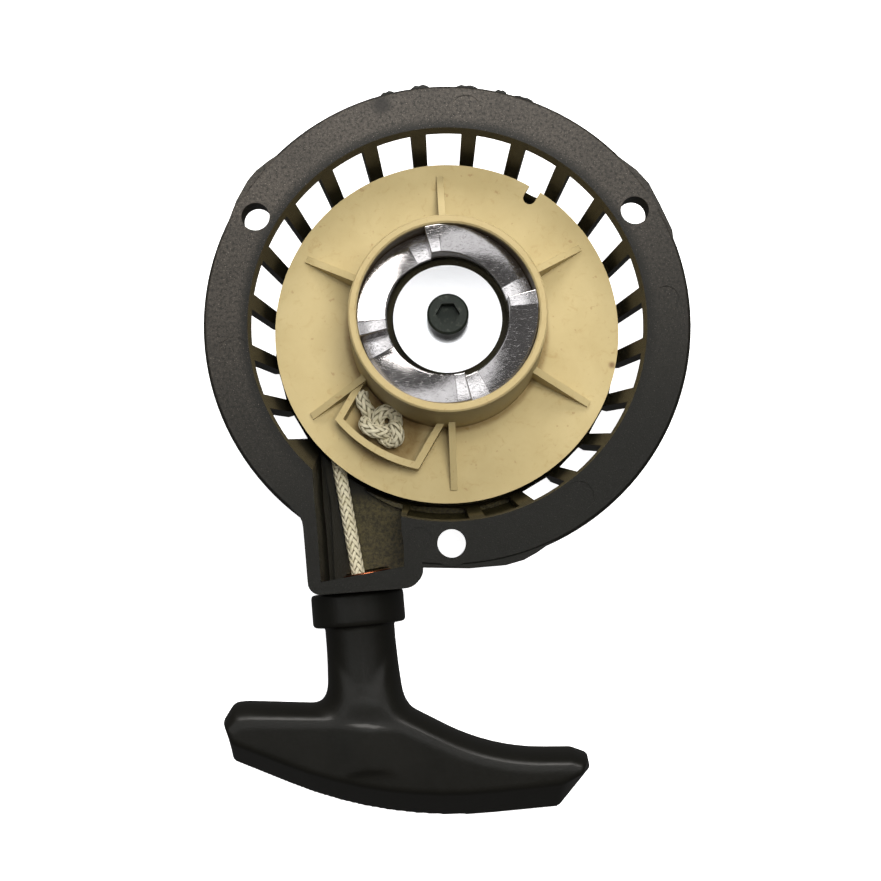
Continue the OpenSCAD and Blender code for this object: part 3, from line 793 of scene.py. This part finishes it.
def make_handle_knot():
    loops = knot_control()[:, [1, 0, 2]] * np.array([0.62, 1.0, 1.0])
    standing = [[0.0, 6.3, 0.0], [0.0, 4.6, 0.0]]
    tail = [[1.8, -3.4, 1.2]]
    local = np.vstack([standing, loops + np.array([0.0, 0.4, 0.0]), tail])
    route = from_outlet(local + np.array([-LEAD_R, WASHER_SEAT - 6.6, 0.0]))
    piece = braided_rope("handle_knot_braid", route, (0, 0, 1), radius=1.5, spacing=0.35)
    stands_for(piece, "handle", "handle_knot")


def make_rope_lead():
    """The length between eyelet and handle: it grows along the pull, so its stitches are in the finish."""
    stops = np.concatenate([np.linspace(RUN_END, -62.5, 61), np.linspace(-63.0, WASHER_SEAT - 1.0, 60)])
    phi = np.linspace(0, 2 * math.pi, 20, endpoint=False)
    rings = [[(-LEAD_R + ROPE_R * math.cos(a), y, ROPE_R * math.sin(a)) for a in phi] for y in stops]
    points = from_outlet(np.asarray(rings).reshape(-1, 3))
    faces = grid_faces(len(stops), 20, False, True)
    faces += [list(range(20)), [(len(stops) - 1) * 20 + i for i in range(20)]]
    piece = make_piece("rope_lead_taut", points, faces, TAUT)
    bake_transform(piece)
    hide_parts("rope_lead")


make_rope_run()
make_reel_knot()
make_handle_knot()
make_rope_lead()

# ---------------------------------------------------------------- eyelet


def make_eyelet():
    """Copper eyelet with a rolled lip, turned round the outlet's axis."""
    lip = [(5.45 + 0.75 * math.cos(a), 0.42 * math.sin(a)) for a in np.linspace(-0.3, math.pi + 0.6, 12)]
    profile = [(6.2, -0.02), *lip, (4.62, -0.6), (4.60, -3.1), (5.2, -3.1), (5.22, -0.05)]
    phi = np.linspace(0, 2 * math.pi, 72, endpoint=False)
    rings = [[(EYELET_X + r * math.cos(a), -57.2 + h, r * math.sin(a)) for r, h in profile] for a in phi]
    points = from_outlet(np.asarray(rings).reshape(-1, 3))
    piece = make_piece("eyelet_rolled", points, grid_faces(72, len(profile), True, True), COPPER)
    stands_for(piece, "housing", "rope_eyelet")


make_eyelet()

# ---------------------------------------------------------------- handle

# Corners of the T bar: mid-thickness point, face point, radius, straight side (1) or rounded side (0)
GRIP_CORNERS = [
    ((-6.5, -14.0), (-2.0, -33.0), 0.0, 0),
    ((-9.35, -26.9), (-5.5, -31.5), 6.0, 0),
    ((-30.5, -24.4), (-28.0, -29.5), 3.0, 0),
    ((-33.8, -24.4), (-31.5, -29.5), 2.0, 0),
    ((-36.6, -28.2), (-34.2, -30.8), 1.0, 0),
    ((-35.2, -38.9), (-33.8, -33.2), 1.6, 1),
    ((3.0, -57.9), (3.0, -51.2), 112.0, 1),
    ((46.0, -57.6), (47.0, -50.2), 1.6, 1),
    ((55.0, -48.6), (52.0, -48.6), 1.0, 1),
    ((54.5, -45.0), (51.8, -47.6), 0.6, 0),
    ((50.8, -43.3), (48.6, -47.0), 1.5, 0),
    ((30.4, -41.6), (30.4, -45.8), 56.0, 0),
    ((8.6, -28.2), (6.0, -32.5), 10.0, 0),
    ((5.8, -14.0), (1.5, -33.5), 0.0, 0),
]
VOXEL = 0.5
BORE_R = 2.3
KNOT_ROOM_R = 5.8
NECK_R = 8.9
NECK_SWELL = 0.9
SWELL_FROM = -12.0
SWELL_OVER = 26.0
NECK_END = -42.0
COLLAR_X = -0.5
COLLAR_R = 11.0
COLLAR_MID = -3.4
COLLAR_HALF = 3.3
COLLAR_ROUND = 0.9


def round_corner(before, corner, after, radius):
    """Points of the arc that rounds a corner."""
    to_before = (before - corner) / np.linalg.norm(before - corner)
    to_after = (after - corner) / np.linalg.norm(after - corner)
    half = math.acos(float(to_before.dot(to_after))) / 2
    middle = (to_before + to_after) / np.linalg.norm(to_before + to_after)
    centre = corner + middle * radius / math.sin(half)
    first = corner + to_before * radius / math.tan(half) - centre
    last = corner + to_after * radius / math.tan(half) - centre
    start = math.atan2(first[1], first[0])
    sweep = (math.atan2(last[1], last[0]) - start + math.pi) % (2 * math.pi) - math.pi
    turns = start + sweep * np.linspace(0, 1, 9)
    return centre + radius * np.column_stack([np.cos(turns), np.sin(turns)])


def grip_outline(rise):
    """The bar's outline at a share of its half thickness."""
    rounded = 1.0 - math.sqrt(max(0.0, 1.0 - rise * rise))
    corners = []
    for middle, face, _, straight in GRIP_CORNERS:
        share = rise if straight else rounded
        corners.append(np.asarray(middle) + (np.asarray(face) - np.asarray(middle)) * share)
    parts = []
    for i, (_, _, radius, _) in enumerate(GRIP_CORNERS):
        if radius == 0.0:
            parts.append(corners[i][None, :])
        else:
            parts.append(round_corner(corners[i - 1], corners[i], corners[(i + 1) % len(corners)], radius))
    return np.vstack(parts)


def distance_to_outline(outline, x, y):
    """Signed distance to a closed outline, negative inside."""
    nearest = np.full(x.shape, np.inf)
    inside = np.zeros(x.shape, bool)
    for (ax, ay), (bx, by) in zip(outline, np.roll(outline, -1, axis=0)):
        dx, dy = bx - ax, by - ay
        t = np.clip(((x - ax) * dx + (y - ay) * dy) / (dx * dx + dy * dy), 0, 1)
        nearest = np.minimum(nearest, (x - ax - t * dx) ** 2 + (y - ay - t * dy) ** 2)
        if ay != by:
            inside ^= ((ay > y) != (by > y)) & (x < (y - ay) * dx / dy + ax)
    distance = np.sqrt(nearest)
    return np.where(inside, -distance, distance)


def soft_min(a, b, reach):
    h = np.clip(0.5 + 0.5 * (b - a) / reach, 0, 1)
    return b * (1 - h) + a * h - reach * h * (1 - h)


def soft_max(a, b, reach):
    return -soft_min(-a, -b, reach)


def make_grip():
    """The T handle as one moulded form: bar, neck and collar run into each other."""
    xs = np.arange(-39.0, 58.0, VOXEL)
    ys = np.arange(-60.5, 1.6, VOXEL)
    zs = np.arange(-13.5, 13.6, VOXEL)
    x2, y2 = np.meshgrid(xs, ys, indexing="ij")
    bar = np.empty((len(xs), len(ys), len(zs)))
    for k, z in enumerate(zs):
        rise = min(abs(z) / GRIP_HALF, 1.0)
        if z > 0 and k >= len(zs) - 1 - k:
            bar[:, :, k] = bar[:, :, len(zs) - 1 - k]
        else:
            bar[:, :, k] = distance_to_outline(grip_outline(rise), x2, y2)
    x, y, z = np.meshgrid(xs, ys, zs, indexing="ij")
    bar = soft_max(bar, np.abs(z) - GRIP_HALF + 0.1, 1.0)
    swell = np.clip((SWELL_FROM - y) / SWELL_OVER, 0.0, 1.0)
    swell = swell * swell * (3.0 - 2.0 * swell)
    neck = NECK_R * (np.hypot((x - COLLAR_X) / NECK_R, z / (NECK_R + NECK_SWELL * swell)) - 1.0)
    neck = np.maximum(neck, NECK_END - y)
    body = soft_min(bar, neck, 3.5)
    body = np.maximum(body, y + 3.0)
    ring = np.hypot(x - COLLAR_X, z) - COLLAR_R
    tall = np.abs(y - COLLAR_MID) - COLLAR_HALF
    collar = np.minimum(np.maximum(ring, tall), 0) + np.hypot(np.maximum(ring, 0), np.maximum(tall, 0))
    body = soft_min(body, collar - COLLAR_ROUND, 0.7)
    c, s = math.cos(HANDLE_LEAN), math.sin(HANDLE_LEAN)
    out_x = x * c - y * s + HANDLE_PLACE[0]
    out_y = x * s + y * c + HANDLE_PLACE[1]
    from_rope = np.hypot(out_x + LEAD_R, z)
    body = np.maximum(body, -np.maximum(from_rope - BORE_R, WASHER_SEAT - 1.0 - out_y))
    room = np.maximum(from_rope - KNOT_ROOM_R, RECESS_END - out_y)
    mouth = np.maximum(np.abs(out_x + LEAD_R) - KNOT_ROOM_R, np.maximum(z, MOUTH_END - out_y))
    body = soft_max(body, -np.maximum(np.minimum(room, mouth), out_y - WASHER_SEAT), 0.5)
    grid = openvdb.FloatGrid(3.0)
    grid.copyFromArray(np.clip(body, -3.0, 3.0).astype(np.float32))
    points, quads = grid.convertToQuads(0.0)
    points = np.asarray(points, float) * VOXEL + np.array([xs[0], ys[0], zs[0]])
    piece = make_piece("handle_grip_moulded", from_handle(points), quads[:, ::-1].tolist(), GRIP, 60.0)
    stands_for(piece, "handle", "handle_grip")


make_grip()

# ---------------------------------------------------------------- stage


# Name, place and aim in metres, size, watts, colour, and whether it shows in reflections
LAMPS = [
    ("key", (0.02, 0.60, 0.50), (0, 0.01, 0), (0.60, 0.34), 4.6, (1.0, 0.97, 0.93), True),
    ("front", (0.10, 0.04, 0.62), (0, -0.02, 0), (0.26, 0.26), 4.2, (1.0, 0.99, 0.97), False),
    ("card_over", (0.0, 0.06, 0.60), (0, 0, 0), (0.20, 0.20), 0.20, (1.0, 1.0, 1.0), True),
    ("card_right", (0.42, 0.12, 0.60), (0, 0, 0), (0.30, 0.40), 0.30, (1.0, 1.0, 1.0), True),
    ("card_left", (-0.42, 0.02, 0.60), (0, 0, 0), (0.30, 0.50), 0.42, (1.0, 1.0, 1.0), True),
    ("card_near", (0.06, -0.44, 0.60), (0, 0, 0), (0.36, 0.20), 0.035, (1.0, 0.88, 0.76), True),
]


def soft_box(name, place, aim, size, power, colour, shines):
    data = bpy.data.lights.new(name, "AREA")
    data.shape = "RECTANGLE"
    data.size, data.size_y = size
    data.energy = power
    data.color = colour
    lamp = bpy.data.objects.new(name, data)
    bpy.context.scene.collection.objects.link(lamp)
    lamp.location = place
    lamp.rotation_euler = (Vector(aim) - Vector(place)).to_track_quat("-Z", "Y").to_euler()
    lamp.visible_glossy = shines


def pale_floor():
    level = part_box("housing")[0].z - 0.0002
    half = 1.5
    mesh = bpy.data.meshes.new("floor")
    corners = [(-half, -half, level), (half, -half, level), (half, half, level), (-half, half, level)]
    mesh.from_pydata(corners, [], [(0, 1, 2, 3)])
    floor = bpy.data.objects.new("floor", mesh)
    bpy.context.scene.collection.objects.link(floor)
    f = Finish("floor_paper", Roughness=0.9)
    f.set(Base_Color=(0.9, 0.9, 0.9, 1.0), Emission_Color=(1.0, 1.0, 1.0, 1.0), Emission_Strength=0.95)
    mesh.materials.append(f.material)
    floor.visible_diffuse = False
    floor.visible_glossy = False


def studio():
    world = bpy.data.worlds.new("studio")
    bpy.context.scene.world = world
    world.use_nodes = True
    world.node_tree.nodes["Background"].inputs[0].default_value = (1.0, 0.98, 0.95, 1.0)
    world.node_tree.nodes["Background"].inputs[1].default_value = 0.08
    for name, place, aim, size, power, colour, shines in LAMPS:
        soft_box(name, place, aim, size, power, colour, shines)
    view = bpy.context.scene.view_settings
    view.view_transform = "Standard"


pale_floor()
studio()
